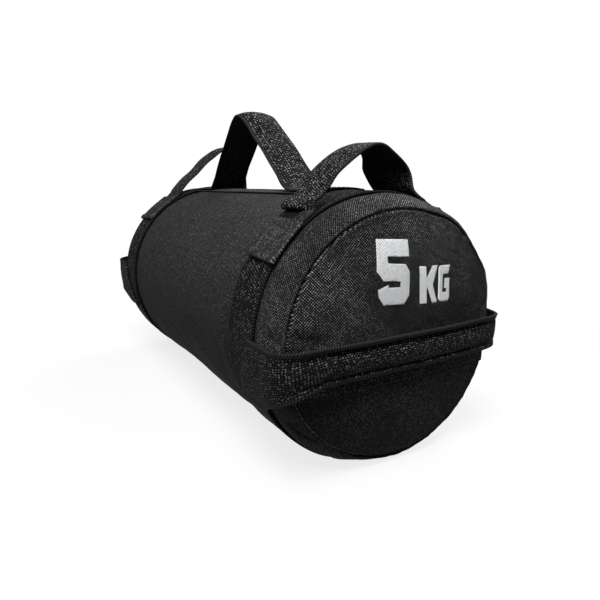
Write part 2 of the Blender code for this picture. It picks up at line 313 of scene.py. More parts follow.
def webbing_finish(name, level, edge, pitch=0.0019, half_width=strap_width / 2, hem=0.0015):
    """Coarse black webbing: slanted rows of dots with painted glints, between corded edges.

    level is how bright the whole strap is and edge how bright its cords are; pitch is the
    distance between dots, and hem the width of each corded edge.
    """
    look = black_cloth(name, 0.08)
    place, along, across, painted_shade = look.cloth()
    waver = look.noise(place, 90, 2) * 0.8 + look.noise(place, 520, 1) * 0.8
    row = across / pitch + waver
    step = along / pitch + row.floor() * 0.41 + waver
    dot = look.woven(step, row).size().ramp(0.40, 0.92)
    rubbed = look.noise(place, 700, 1).ramp(0.32, 0.54)
    luck = look.chance(step, row)
    cloud = look.noise(place, 35, 3)
    border = across.size().ramp(half_width - hem - 0.0008, half_width - hem)
    cord = (along * (full_turn / edge_cord_pitch)).sine().ramp(-0.6, 0.9)
    # lit: painted glints on the raised dots and on the corded edges
    lit = dot * (0.10 + luck.ramp(0.2, 1.0) * 0.90) * (0.25 + rubbed * 0.75)
    lit = lit * (0.30 + cloud * 0.9) * (1 - border)
    lit = (lit + border * (cord * 0.16 + 0.02) * edge * (0.3 + cloud)).least(1.0)
    # painted shade on the strap's inside and in the fold's pocket; below 0 it is painted light
    lit = lit * (1 - painted_shade * 0.85)
    tone = look.mix(dot, grey(0.0020 * level, 0.02), grey(0.0080 * level, 0.02))
    tone = look.mix(lit, tone, grey(0.70 * level, 0.015))
    height = dot * (1 - border) + border * cord + look.noise(place, 500, 2) * 0.4
    # the webbing's tone takes painted shade towards the floor
    return look.finish(look.shaded(tone, 0.60), 0.82 - lit * 0.25 + cloud * 0.06, height, 0.00060)


def tab_finish():
    """Finer webbing of the sewn tabs, with painted glints on its raised threads and edges."""
    look = black_cloth("tab_webbing", 0.06)
    place, along, across, _ = look.cloth()
    waver = look.noise(place, 150, 2)
    row, step = across / tab_pitch + waver, along / tab_pitch + waver
    weave = look.woven(row, step)
    luck = look.chance(step, row)
    border = across.size().ramp(0.0168, 0.0178)
    cloud = look.noise(place, 40, 3)
    rubbed = look.noise(place, 800, 1).ramp(0.36, 0.62)
    raised = weave.ramp(-0.2, 0.6)
    # painted glints on the raised threads, and a little along the edges
    painted_glint = luck.ramp(0.4, 1.0) * raised + border * 0.15
    tone = look.mix(raised, grey(0.012, -0.01), grey(0.040, -0.01))
    tone = look.mix((painted_glint * (0.10 + rubbed * 0.50 + cloud * 0.2)).least(1.0), tone, grey(0.32))
    return look.finish(tone, 0.76 - painted_glint * 0.15, weave * 0.6 + luck * 0.4, 0.00035)


def thread_finish():
    """Black twisted sewing thread with a dull shine."""
    look = Finish("thread", Sheen_Weight=0.03, Specular_IOR_Level=0.25)
    twist = look.noise(look.place(), 2600, 2)
    tone = look.mix(twist.ramp(0.3, 0.7), grey(0.008), grey(0.035))
    return look.finish(tone, 0.55 + twist * 0.2, twist, 0.0001)


def print_finish():
    """White ink on woven cloth: the weave shows through and some threads stay bare."""
    look = Finish("print_ink", Specular_IOR_Level=0.3)
    place, along, across, _ = look.cloth()
    warp, weft = along / weave_pitch, across / weave_pitch
    weave = look.woven(warp, weft)
    luck = look.chance(warp, weft)
    cloud = look.noise(place, 45, 3)
    bare = luck.ramp(0.72, 0.98) * (0.45 + cloud * 0.6)
    tone = look.mix(weave.ramp(-0.9, 0.6), grey(0.80, -0.022), grey(0.96, -0.015))
    tone = look.mix(bare * 0.40, tone, grey(0.24, -0.02))
    return look.finish(tone, 0.66 + bare * 0.15, weave * 0.6 + luck * 0.4, 0.0003)


def liner_finish():
    """Grey woven plastic of the inner bag."""
    look = Finish("liner_cloth", Specular_IOR_Level=0.5)
    place, along, across, _ = look.cloth()
    weave = look.woven(across / liner_pitch, along / liner_pitch)
    cloud = look.noise(place, 25, 3)
    tone = look.mix(weave.ramp(-0.6, 0.6), grey(0.20, 0.02), grey(0.34, 0.02))
    tone = look.mix(cloud.ramp(0.45, 0.8) * 0.4, tone, grey(0.16, 0.05))
    return look.finish(tone, 0.48 + cloud * 0.2, weave, 0.0003)


def granulate_finish():
    """Loose dark filling of mixed grains."""
    look = Finish("granulate", Specular_IOR_Level=0.4)
    place = look.place()
    grains = look.node("TexVoronoi", (), {"Vector": place, "Scale": 420}, output="Distance")
    tint = look.noise(place, 260, 3)
    tone = look.mix(tint.ramp(0.35, 0.65), grey(0.030, 0.05), grey(0.085, 0.10))
    return look.finish(tone, 0.75 + tint * 0.2, 1 - grains, 0.0010)


def tie_finish():
    """Plain twisted cord that ties the inner bag."""
    look = Finish("tie_cord", Sheen_Weight=0.3, Specular_IOR_Level=0.4)
    place, along, across, _ = look.cloth()
    strand = ((along + across * 0.9) * (full_turn / tie_pitch)).sine()
    fuzz = look.noise(place, 900, 2)
    tone = look.mix(strand.ramp(-0.7, 0.8), grey(0.10, 0.05), grey(0.28, 0.06))
    return look.finish(tone, 0.75 + fuzz * 0.15, strand + fuzz * 0.5, 0.0004)


# ---------------------------------------------------------------- studio

def put_in_scene(name, data):
    """An object made of data, linked to the scene."""
    made = bpy.data.objects.new(name, data)
    bpy.context.scene.collection.objects.link(made)
    return made


def plain_mesh(name, vertices, faces):
    """A mesh of lists or arrays of vertices and faces."""
    mesh = bpy.data.meshes.new(name)
    mesh.from_pydata(list(vertices), [], list(faces))
    return mesh


def lay_floor():
    """White floor that keeps the bag's soft shadow."""
    look = Finish("studio_floor", Roughness=0.9, Specular_IOR_Level=0.0)
    place = look.place()
    reach = look.node("VectorMath", {"operation": "LENGTH"}, {0: place}, output="Value")
    seen = look.rays("Camera", "Glossy", "Transmission")
    pale = look.mix(look.noise(place, 30, 2), grey(0.88), grey(0.90))
    look.put(look.shader.inputs["Base Color"], look.mix(seen, grey(0.10), pale))
    white = look.node("Emission", (), {"Color": grey(1.0), "Strength": 1.0})
    share = seen * (0.80 + reach.ramp(0.16, 0.52) * 0.20)
    lit = Signal(look, look.shader.outputs[0])
    blend = look.node("MixShader", (), {0: share, 1: lit, 2: white})
    look.put(look.tree.nodes["Material Output"].inputs["Surface"], blend)
    wide = 4.0
    corners = ((-wide, -wide, 0), (wide, -wide, 0), (wide, wide, 0), (-wide, wide, 0))
    floor = put_in_scene("studio_floor", plain_mesh("studio_floor", corners, [(0, 1, 2, 3)]))
    floor.data.materials.append(look.material)
    floor.location.z = -0.0002


def light_studio():
    """Plain white behind the bag, a faint light all round, and the soft lamps."""
    world = bpy.data.worlds.new("studio")
    bpy.context.scene.world = world
    world.use_nodes = True
    nodes = Nodes(world.node_tree)
    shown = nodes.rays("Camera", "Transmission")
    surround = nodes.tree.nodes["Background"]
    nodes.put(surround.inputs["Color"], grey(1.0))
    nodes.put(surround.inputs["Strength"],
              nodes.node("MapRange", (), {"Value": shown, "To Min": 0.06, "To Max": 1.0}))
    for name, (at, aim, size, power) in softboxes.items():
        data = bpy.data.lights.new(name, "AREA")
        data.size, data.energy = size, power
        lamp = put_in_scene(name, data)
        lamp.location = at
        lamp.rotation_mode = "QUATERNION"
        lamp.rotation_quaternion = (Vector(at) - Vector(aim)).to_track_quat("Z", "Y")


# ---------------------------------------------------------------- shaping

def smooth_step(value, low, high):
    """Runs smoothly from 0 to 1 as value goes from low to high."""
    share = np.clip((value - low) / (high - low), 0, 1)
    return share * share * (3 - 2 * share)


def hump(value, middle, width):
    """A bell of height 1 at middle."""
    return np.exp(-((value - middle) / width) ** 2)


def waviness(along, across, seed, length, waves=9):
    """Gentle random height, mostly between -1 and 1, in waves about length long."""
    random = np.random.default_rng(seed)
    total = np.zeros(np.broadcast(along, across).shape)
    for _ in range(waves):
        heading, phase = random.uniform(0, full_turn, 2)
        pitch = length * random.uniform(0.7, 1.7)
        total = total + np.sin((along * math.cos(heading) + across * math.sin(heading))
                               * full_turn / pitch + phase)
    return total / math.sqrt(waves)


def settled(height, depth):
    """Height above the axis, softly flattened on the floor at a depth below it."""
    softness = 0.9 * millimetre
    return softness * np.logaddexp(0, (height + depth) / softness) - depth


def round_bag(x, angle, radius, depth):
    """Points at an angle from the top, a radius from the axis, above the floor."""
    x, angle, radius = np.broadcast_arrays(x, angle, radius)
    side = radius * np.sin(angle)
    up = settled(radius * np.cos(angle), depth) + axis_height
    return np.stack([x, side, up], -1)


def reach_along(points):
    """Distance along a line of points at each of them."""
    steps = np.linalg.norm(np.diff(points, axis=0), axis=1)
    return np.concatenate([[0], np.cumsum(steps)])


def read_line(values, reach, distance):
    """What a line of values is at distances along it."""
    return np.stack([np.interp(distance, reach, values[:, axis])
                     for axis in range(values.shape[1])], -1)


def read_grid(values, row, column):
    """What a grid of values is at places given as rows and columns with fractions."""
    low_row = np.clip(np.floor(row).astype(int), 0, values.shape[0] - 2)
    low_column = np.clip(np.floor(column).astype(int), 0, values.shape[1] - 2)
    row, column = row - low_row, column - low_column
    if values.ndim > 2:
        row, column = row[..., None], column[..., None]
    first, second = (values[at, low_column] * (1 - column) + values[at, low_column + 1] * column
                     for at in (low_row, low_row + 1))
    return first * (1 - row) + second * row


class Run:
    """A smooth line through points, read by distance along it."""

    def __init__(self, points, fineness=24):
        points = np.array(points, float)
        chain = np.vstack([2 * points[0] - points[1], points, 2 * points[-1] - points[-2]])
        part = np.linspace(0, 1, fineness, endpoint=False)[:, None]
        spans = []
        for before, start, end, after in zip(chain, chain[1:], chain[2:], chain[3:]):
            spans.append(0.5 * (2 * start + (end - before) * part
                                + (2 * before - 5 * start + 4 * end - after) * part ** 2
                                + (3 * start - before - 3 * end + after) * part ** 3))
        self.points = np.vstack(spans + [points[-1:]])
        self.reach = reach_along(self.points)
        self.fineness = fineness
        self.length = self.reach[-1]

    def to_point(self, index):
        """Distance along the line to one of its given points."""
        return self.reach[index * self.fineness]

    def at(self, distance):
        """Points at distances along the line."""
        return read_line(self.points, self.reach, distance)

    def even(self, count):
        """A count of points at even distances, from end to end."""
        return self.at(np.linspace(0, self.length, count))


def face_normals(surface):
    """Unit normals of a grid of points."""
    normal = np.cross(np.gradient(surface, axis=0), np.gradient(surface, axis=1))
    return normal / np.maximum(np.linalg.norm(normal, axis=-1, keepdims=True), 1e-12)


def add_piece(name, mesh, material, body, nodes=()):
    """Puts a mesh in the scene as a piece that rides on a body."""
    mesh.materials.append(material)
    mesh.shade_smooth()
    piece = put_in_scene(name, mesh)
    if body:
        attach(piece, body)
    if nodes:
        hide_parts(*nodes)
    return piece


def cleaned(mesh, merge=0.0, cap=False):
    """Joins points closer than merge, caps open ends if asked, and turns all faces outwards."""
    form = bmesh.new()
    form.from_mesh(mesh)
    if merge:
        bmesh.ops.remove_doubles(form, verts=form.verts, dist=merge)
    if cap:
        rims = [edge for edge in form.edges if edge.is_boundary]
        bmesh.ops.holes_fill(form, edges=rims, sides=0)
    bmesh.ops.recalc_face_normals(form, faces=form.faces)
    form.to_mesh(mesh)
    form.free()
    return mesh


def mesh_of(name, vertices, faces, cloth):
    """A mesh with its place on the cloth kept at every face corner, facing outwards."""
    mesh = plain_mesh(name, vertices.tolist(), faces.tolist())
    kept = mesh.attributes.new("cloth", "FLOAT_VECTOR", "CORNER")
    kept.data.foreach_set("vector", cloth.astype(np.float32).ravel())
    return cleaned(mesh)


def grid_cells(rows, columns):
    """Row and column of every cell of a grid, row by row."""
    return (grid.ravel() for grid in
            np.meshgrid(np.arange(rows), np.arange(columns), indexing="ij"))


def tube_faces(rows, sides):
    """Faces of a tube whose points run round it, ring after ring."""
    row, side = grid_cells(rows - 1, sides)
    corner, beside = row * sides + side, row * sides + (side + 1) % sides
    return np.stack([corner, beside, beside + sides, corner + sides], -1)


def slab(name, outside, inside, cloth, wrapped=False, painted_shade=None):
    """A closed sheet between two grids of points; wrapped joins its last column to its first.

    cloth gives the metres along and across at each grid point, with one more column
    where the sheet is wrapped. painted_shade gives how much painted shade its outside and
    its inside take at each point, normally 0 and 1; below 0 it paints light.
    """
    rows, columns = outside.shape[:2]
    wide = columns if wrapped else columns - 1
    row, column = grid_cells(rows - 1, wide)
    cell = [(row, column), (row, column + 1), (row + 1, column + 1), (row + 1, column)]
    groups = [[(r, c, 0) for r, c in cell], [(r, c, 1) for r, c in reversed(cell)]]
    edge = np.arange(wide)
    for end in (0, rows - 1):
        line = np.full(wide, end)
        groups.append([(line, edge, 0), (line, edge, 1), (line, edge + 1, 1), (line, edge + 1, 0)])
    if not wrapped:
        edge = np.arange(rows - 1)
        for end in (0, columns - 1):
            line = np.full(rows - 1, end)
            groups.append([(edge, line, 0), (edge, line, 1), (edge + 1, line, 1),
                           (edge + 1, line, 0)])
    if painted_shade is None:
        painted_shade = np.zeros(cloth.shape[:2]), np.ones(cloth.shape[:2])
    faces = np.concatenate([np.stack([r * columns + c % columns + side * rows * columns
                                      for r, c, side in group], -1) for group in groups])
    places = np.concatenate([np.stack([np.stack([cloth[r, c, 0], cloth[r, c, 1],
                                                 painted_shade[side][r, c]], -1)
                                       for r, c, side in group], 1) for group in groups])
    vertices = np.concatenate([outside.reshape(-1, 3), inside.reshape(-1, 3)])
    return mesh_of(name, vertices, faces, places)


def columns_across(count=25):
    """Places across a strap from -1 to 1, closer together near its edges."""
    even = np.linspace(-1, 1, count)
    return np.sin(even * math.pi / 2) * 0.6 + even * 0.4


def edge_section(across, thickness, cord=0.30):
    """Half thickness across a strap: flat, with a groove and a raised cord along each edge."""
    out = np.abs(across)
    half = thickness / 2 * (1 - 0.12 * hump(out, 0.86, 0.03))
    half = half + cord * millimetre * hump(out, 0.945, 0.04)
    return half * np.sqrt(np.clip(1 - ((out - 0.93) / 0.085).clip(0) ** 2, 0.12, 1))


class Strap:
    """A strap of webbing laid along a middle surface; outward is how its middle faces."""

    def __init__(self, surface, across, outward, thickness=strap_thickness, cord=0.30,
                 half_width=strap_width / 2):
        self.surface = surface
        self.across = across
        self.half_width = half_width
        self.normals = face_normals(surface)
        rows, columns = surface.shape[:2]
        if self.normals[rows // 2, columns // 2] @ np.array(outward, float) < 0:
            self.normals = -self.normals
        self.half = edge_section(across, thickness, cord)[None, :, None]
        self.along = reach_along(surface[:, columns // 2])
        # painted shade: none on the outside, full on the inside
        self.painted_shade = np.zeros((rows, columns)), np.ones((rows, columns))

    def mesh(self, name):
        """The strap as a closed mesh."""
        outside = self.surface + self.normals * self.half
        inside = self.surface - self.normals * self.half
        along = np.broadcast_to(self.along[:, None], outside.shape[:2])
        across = np.broadcast_to(self.across[None] * self.half_width, outside.shape[:2])
        return slab(name, outside, inside, np.stack([along, across], -1), painted_shade=self.painted_shade)

    def piece(self, name, finish, body, *nodes):
        """The strap as a piece in place of nodes."""
        return add_piece(name, self.mesh(name), finish, body, nodes)

    def point(self, along, across):
        """A point and the normal on the strap's outside, by metres along and share across."""
        rows = np.interp(along, self.along, np.arange(len(self.along)))
        places = np.interp(across, self.across, np.arange(len(self.across)))
        return [read_grid(values, rows, places)
                for values in (self.surface + self.normals * self.half, self.normals)]

    def seam(self, start, end):
        """A straight seam on the strap's outside between two (along, across) places."""
        along, across = np.linspace(start, end, 40).T
        return self.point(along, across)

    def long_seams(self, out, inset=0.004):
        """The two seams that run the length of the strap, a share out from its middle."""
        length = self.along[-1]
        return [self.seam((inset, place), (length - inset, place)) for place in (-out, out)]

    def raised(self, height):
        """The middle surface moved along its normals by millimetres."""
        return self.surface + self.normals * (height * millimetre)[..., None]

    def box(self, start, end, out=0.76, crossed=False):
        """Seams round a sewn patch of the strap, and its diagonals if crossed."""
        corners = [(start, -out), (end, -out), (end, out), (start, out)]
        seams = [self.seam(a, b) for a, b in zip(corners, corners[1:] + corners[:1])]
        if crossed:
            seams += [self.seam(corners[0], corners[2]), self.seam(corners[1], corners[3])]
        return seams


def stitch_mesh(name, seams, pitch=0.0034, radius=0.00036):
    """Short stitches of thread laid along seams, each seam points and normals."""
    sides = 6
    shares = np.array([-1.0, -0.72, 0.0, 0.72, 1.0])
    girths = np.array([0.25, 0.85, 1.0, 0.85, 0.25])[:, None, None] * radius
    sunk = (-0.15 - shares ** 2 * 0.9)[:, None] * radius
    turns = (np.arange(sides) * full_turn / sides)[:, None]
    ends = [tuple(reversed(range(sides))),
            tuple(range((len(shares) - 1) * sides, len(shares) * sides))]
    cells = tube_faces(len(shares), sides).tolist() + ends
    half = pitch * 0.40
    vertices, faces = [], []
    for points, normals in seams:
        reach = reach_along(points)
        count = max(1, int(reach[-1] / pitch))
        for middle in (np.arange(count) + 0.5) * reach[-1] / count:
            start, end = (read_line(points, reach, middle + step) for step in (-half, half))
            up = read_line(normals, reach, middle)
            up = up / np.linalg.norm(up)
            way = end - start
            if np.linalg.norm(way) < 1e-6:
                continue
            side = np.cross(up, way / np.linalg.norm(way))
            centres = (start + end) / 2 + way / 2 * shares[:, None] + up * sunk
            rings = centres[:, None] + girths * (side * np.cos(turns) + up * np.sin(turns))
            faces += [[len(vertices) + corner for corner in cell] for cell in cells]
            vertices += rings.reshape(-1, 3).tolist()
    return plain_mesh(name, vertices, faces)


# ---------------------------------------------------------------- cloth body

def closed_skin():
    """The bag as one closed skin of even cells, a little inside its cloth."""
    start, cell = skin_inset, 0.0055
    half = [(disc_rim + disc_dome - start, 0.0), (disc_rim + disc_dome * 0.6 - start, 0.060),
            (disc_rim - start, 0.086), (seam_distance + 0.020, bag_radius - 0.0058 - start),
            (seam_distance + 0.010, bag_radius - 0.0018 - start),
            (seam_distance, bag_radius - start), (0.09, bag_radius - start)]
    line = Run(half + [(0.0, bag_radius - start)]
               + [(-x, radius) for x, radius in half[::-1]]).even(150)
    angles = np.arange(120) * full_turn / 120
    tube = round_bag(line[:, 0:1], angles[None], np.clip(line[:, 1:2], 0.0003, None),
                     underside_depth - start)
    rows, sides = tube.shape[:2]
    caps = [tuple(range(sides)), tuple(range((rows - 1) * sides, rows * sides))[::-1]]
    body = put_in_scene("swell", plain_mesh("swell", tube.reshape(-1, 3).tolist(),
                                            tube_faces(rows, sides).tolist() + caps))
    bpy.context.view_layer.objects.active = body
    remesh = body.modifiers.new("even_cells", "REMESH")
    remesh.mode, remesh.voxel_size = "VOXEL", cell
    bpy.ops.object.modifier_apply(modifier="even_cells")
    return body


def blow_out(body):
    """Swells a closed skin by simulation, held where the bands and the end seams grip it."""
    places = np.array([vertex.co for vertex in body.data.vertices])
    out = np.abs(places[:, 0])
    radius = np.hypot(places[:, 1], places[:, 2] - axis_height)
    banded = (out > seam_distance - band_width - 0.001) & (out < seam_distance + 0.001)
    seamed = np.hypot(out - 0.2075, radius - 0.0900) < 0.0045
    held = body.vertex_groups.new(name="held")
    held.add(np.nonzero(banded | seamed)[0].tolist(), 1.0, "REPLACE")
    cloth = body.modifiers.new("swelling", "CLOTH")
    for setting, value in {"quality": 5, "mass": 0.25, "tension_stiffness": 12,
                           "compression_stiffness": 12, "bending_stiffness": 0.3,
                           "use_pressure": True, "uniform_pressure_force": 4,
                           "shrink_min": -0.03, "vertex_group_mass": "held"}.items():
        setattr(cloth.settings, setting, value)
    cloth.settings.effector_weights.gravity = 0
    cloth.collision_settings.use_collision = False
    for frame_number in range(1, 21):
        bpy.context.scene.frame_set(frame_number)
    bpy.ops.object.modifier_apply(modifier="swelling")
    bpy.context.scene.frame_set(1)
    moved = np.array([vertex.co for vertex in body.data.vertices]) - places
    reach = np.linalg.norm(moved, axis=1, keepdims=True)
    moved *= np.minimum(1, swell_cap / np.maximum(reach, 1e-9))
    body.data.vertices.foreach_set("co", (places + moved).ravel())
    body.modifiers.new("finer", "SUBSURF").levels = 1
    bpy.ops.object.modifier_apply(modifier="finer")


def tree_of(body):
    """A tree of a body's faces, to cast rays at."""
    return BVHTree.FromPolygons([vertex.co for vertex in body.data.vertices],
                                [face.vertices for face in body.data.polygons])


def swollen_body():
    """A tree of the filled cloth body, blown out between its bands and seams.
    """
    body = closed_skin()
    blow_out(body)
    tree = tree_of(body)
    bpy.data.objects.remove(body)
    return tree


def swell(surface, outward, tree):
    """How far the swollen skin stands off a grid of points, along their outward directions."""
    if tree is None:
        return np.zeros(surface.shape[:2])
    back = 0.015
    stand = np.zeros(surface.shape[:2])
    starts = surface - outward * back
    for row in range(surface.shape[0]):
        for column in range(surface.shape[1]):
            hit = tree.ray_cast(starts[row, column], outward[row, column], back * 2.5)[3]
            stand[row, column] = back - skin_inset if hit is None else hit
    return np.clip(stand - back + skin_inset, -swell_cap, swell_cap)


def panel_lift(end, tree):
    """Gives how far the swollen skin lifts an end panel at places measured from the axis."""
    cells = 90
    even = np.linspace(-panel_radius, panel_radius, cells + 1)
    y, z = np.meshgrid(even, even, indexing="ij")
    plain = np.stack([end_sign[end] * disc_rim + 0 * y, y, z + axis_height], -1)
    outward = np.broadcast_to(np.array([float(end_sign[end]), 0, 0]), plain.shape)
    radius = np.hypot(y, z)
    eased = 1 - smooth_step(radius, panel_radius - 0.013, panel_radius - 0.002)
    stand = swell(plain, outward, tree) * eased * swell_share["panel"]

    def lift(side, up):
        """The lift at places, read between the grid's points."""
        return read_grid(stand, *((np.clip(value / panel_radius, -1, 1) + 1) / 2 * cells
                                  for value in (side, up)))

    return lift


facets_round = 288
round_angles = np.arange(facets_round) * full_turn / facets_round + math.pi
angles_and_last = np.append(round_angles, round_angles[0] + full_turn)


def spun_place(along):
    """Place on a cloth that goes round the bag, by metres along the bag and round it."""
    return np.stack(np.broadcast_arrays(along[:, None], (angles_and_last * bag_radius)[None]), -1)


def pulled_cloth(name, lines, depth, relief, finish, nodes, tree, wider=1.0):
    """A sleeve of cloth spun from rows of (x, radius), with relief standing off it."""
    x, radius = lines
    along = reach_along(np.stack(lines, -1))
    lean = np.gradient(x), np.gradient(radius)
    size = np.hypot(*lean)
    sign = np.sign(x[-1] - x[0])
    outward_x = (-lean[1] / size * sign)[:, None]
    outward_r = (lean[0] / size * sign)[:, None]
    plain = round_bag(x[:, None], round_angles[None], radius[:, None], depth)
    outward = np.stack(np.broadcast_arrays(outward_x, outward_r * np.sin(round_angles)[None],
                                           outward_r * np.cos(round_angles)[None]), -1)
    stand_off = relief(along[:, None], (round_angles * bag_radius)[None],
                       swell(plain, outward, tree))

    def skin(offset):
        """The sleeve's surface at an offset from its plain line."""
        return round_bag(x[:, None] + outward_x * offset, round_angles[None],
                         (radius[:, None] + outward_r * offset) * wider, depth)

    mesh = slab(name, skin(stand_off), skin(stand_off - cloth_thickness), spun_place(along),
                wrapped=True)
    return add_piece(name, mesh, finish, "bag", nodes)


def barrel_cloth(finish, tree):
    """The barrel: cloth swollen by its filling, held in by the bands and the runner."""
    reach = seam_distance - clearance / 2
    x = np.linspace(-reach, reach, 220)

    def relief(along, around, swollen):
        """How far the cloth stands off, mostly between the two bands and beside the runner."""
        place = along - reach
        free = 1 - smooth_step(np.abs(place), 0.124, 0.142)
        top = hump(np.angle(np.exp(1j * around / bag_radius)), 0, 0.30)
        height = 0.40 * waviness(along, around, 3, 0.13) + 0.12 * waviness(along, around, 5, 0.045)
        pulled = 0.22 * waviness(along + around * 0.8, around * 0.25, 7, 0.035)
        bulge = 0.5 * hump(np.abs(place), 0.128, 0.009)
        seam = -0.5 * hump(np.abs(place), 0.143, 0.003)
        height = (height + pulled + bulge) * free * (1 - top) + seam - 0.25 * top
        swollen = swollen * swell_share["barrel"] * free * (1 - top)
        return height * millimetre - 0.2 * millimetre * (1 - free) + swollen

    return pulled_cloth("barrel_cloth", (x, np.full(len(x), bag_radius)), underside_depth, relief,
                        finish, ["barrel_sleeve"], tree)


def shoulder_line(sign):
    """Rows of (x, radius) over a shoulder ring, from its band to its disc."""
    line = Run([(seam_distance + out, bag_radius - fall) for out, fall in (
        (clearance / 2, 0.0006), (0.0035, 0.0001), (0.0085, 0.0012), (0.0140, 0.0033),
        (0.0190, 0.0052), (0.0225, 0.0068), (0.0243, 0.0080), (0.0246, 0.0090),
        (0.0236, 0.0095), (0.0215, 0.0097))]).even(46)
    return sign * line[:, 0], line[:, 1]


def shoulder_cloth(end, finish, tree):
    """The woven ring of an end, puckered along both its seams."""
    seed = shoulder_seed[end]

    def relief(along, around, swollen):
        """How far the ring stands off: puckers at its seams, folds and creases between."""
        length = 0.0275
        low = 0.5 - 0.5 * np.cos(around / bag_radius)
        pucker = waviness(around, along * 0.2, seed, 0.010) * 0.22
        folds = waviness(around, along * 0.5, seed + 1, 0.050)
        crease = hump(waviness(around + along * 0.6, along * 0.4, seed + 2, 0.06), 0, 0.13)
        near_seams = np.exp(-along / 0.005) + np.exp(-(length - along) / 0.006)
        free = smooth_step(along, 0, 0.006) * smooth_step(length - along, 0, 0.006)
        turn = np.angle(np.exp(1j * (around / bag_radius + math.radians(88))))
        tucked = 1.5 * hump(turn, 0, 0.13) * (end == "near")
        height = pucker * near_seams * smooth_step(along, 0, 0.002) \
            + (folds * (0.3 + 0.7 * low) + 0.4 - crease * (0.2 + 1.2 * low) - tucked) * free
        return height * millimetre + swollen * swell_share["shoulder"] * free

    lines = shoulder_line(end_sign[end])
    turned = np.angle(np.exp(1j * round_angles))[None]
    eased = smooth_step(np.abs(lines[0]), seam_distance + 0.002, seam_distance + 0.022)[:, None]
    wider = 1 + (out_of_round(end, turned) - 1) * eased
    return pulled_cloth(end + "_shoulder_cloth", lines, underside_depth, relief, finish,
                        [end + "_shoulder"], tree, wider)


def round_grid(count):
    """A square grid of places mapped onto a disc of radius 1, closer together at its rim."""
    even = np.linspace(-1, 1, count)
    even = np.sign(even) * (1 - (1 - np.abs(even)) ** 1.3)
    a, b = np.meshgrid(even, even, indexing="ij")
    wide = np.abs(a) > np.abs(b)
    with np.errstate(divide="ignore", invalid="ignore"):
        angle = np.where(wide, math.pi / 4 * np.nan_to_num(b / a),
                         math.pi / 2 - math.pi / 4 * np.nan_to_num(a / b))
    radius = np.where(wide, a, b)
    return radius * np.cos(angle), radius * np.sin(angle)


def line_crease(y, z, start, end, depth, width):
    """A crease between two places on a disc: a furrow with a soft ridge beside it."""
    start, end = np.array(start), np.array(end)
    way = end - start
    length = np.hypot(*way)
    way = way / length
    along = (y - start[0]) * way[0] + (z - start[1]) * way[1]
    off = -(y - start[0]) * way[1] + (z - start[1]) * way[0]
    fade = smooth_step(along, -0.004, 0.004) * (1 - smooth_step(along, length - 0.010, length))
    return fade * depth * (hump(off, width * 1.6, width * 1.5) - 1.2 * hump(off, 0, width))


def out_of_round(end, angle):
    """How much wider than round an end is at an angle from the top."""
    if end == "far":
        return 1 + 0.008 * np.sin(2 * angle + 1)
    return 1 + 0.034 * hump(angle, 0.62, 0.26) + 0.030 * hump(angle, 1.15, 0.20) \
        - 0.016 * hump(angle, 1.62, 0.30) - 0.008 * hump(angle, -2.4, 0.4)


# the near panel's creases: start, end, depth in millimetres and width
panel_creases = (((0.034, 0.086), (0.043, 0.052), 1.3, 0.0030),
                 ((0.058, 0.070), (0.050, 0.056), 1.0, 0.0030),
                 ((0.088, 0.020), (0.078, -0.004), 0.9, 0.0030),
                 ((-0.088, 0.014), (-0.064, 0.006), 0.8, 0.0035),
                 ((-0.074, 0.052), (-0.056, 0.038), 0.8, 0.0040),
                 ((-0.062, -0.066), (-0.046, -0.050), 0.7, 0.0030),
                 ((0.050, -0.074), (0.036, -0.058), 0.6, 0.0028))


def disc_out(end, y, z, lift):
    """How far out an end disc's face lies, over places on it measured from the bag's axis."""
    seed = panel_seed[end]
    radius = np.hypot(y, z)
    share = np.clip(radius / disc_radius, 0, 1)
    dome = disc_dome * (1 - share ** 2.6)
    edge = panel_radius - radius
    roll = -3.2 * millimetre * np.exp(-(np.clip(edge, 0, None) / 0.0006) ** 1.5)
    angle = np.arctan2(y, z)
    pucker = waviness(angle * disc_radius, radius * 0.3, seed, 0.011) * 0.18 * millimetre \
        * np.exp(-edge / 0.008) * smooth_step(edge, 0, 0.002)
    folds = waviness(y, z, seed + 1, 0.07) * 0.85 * millimetre * smooth_step(edge, 0, 0.02)
    face = disc_rim - 0.2 * millimetre + dome + roll + pucker + folds + lift(y, z)
    for start, stop, depth, width in panel_creases if end == "near" else ():
        face = face + line_crease(y, z, start, stop, depth * millimetre, width)
    return face


def end_panel(end, finish, lift):
    """The round panel of an end."""
    sign = end_sign[end]
    y, z = (grid * panel_radius for grid in round_grid(221))
    face = disc_out(end, y, z, lift)
    wider = out_of_round(end, np.arctan2(y, z))
    up = settled(z * wider, underside_depth) + axis_height
    outside = np.stack([sign * face, y * wider, up], -1)
    inside = outside - np.array([sign * cloth_thickness * 0.9, 0, 0])
    mesh = slab(end + "_end_panel", outside, inside, np.stack([y, z], -1))
    return add_piece(end + "_end_panel", mesh, finish, "bag", [end + "_end_disc"])


# ---------------------------------------------------------------- webbing on the bag

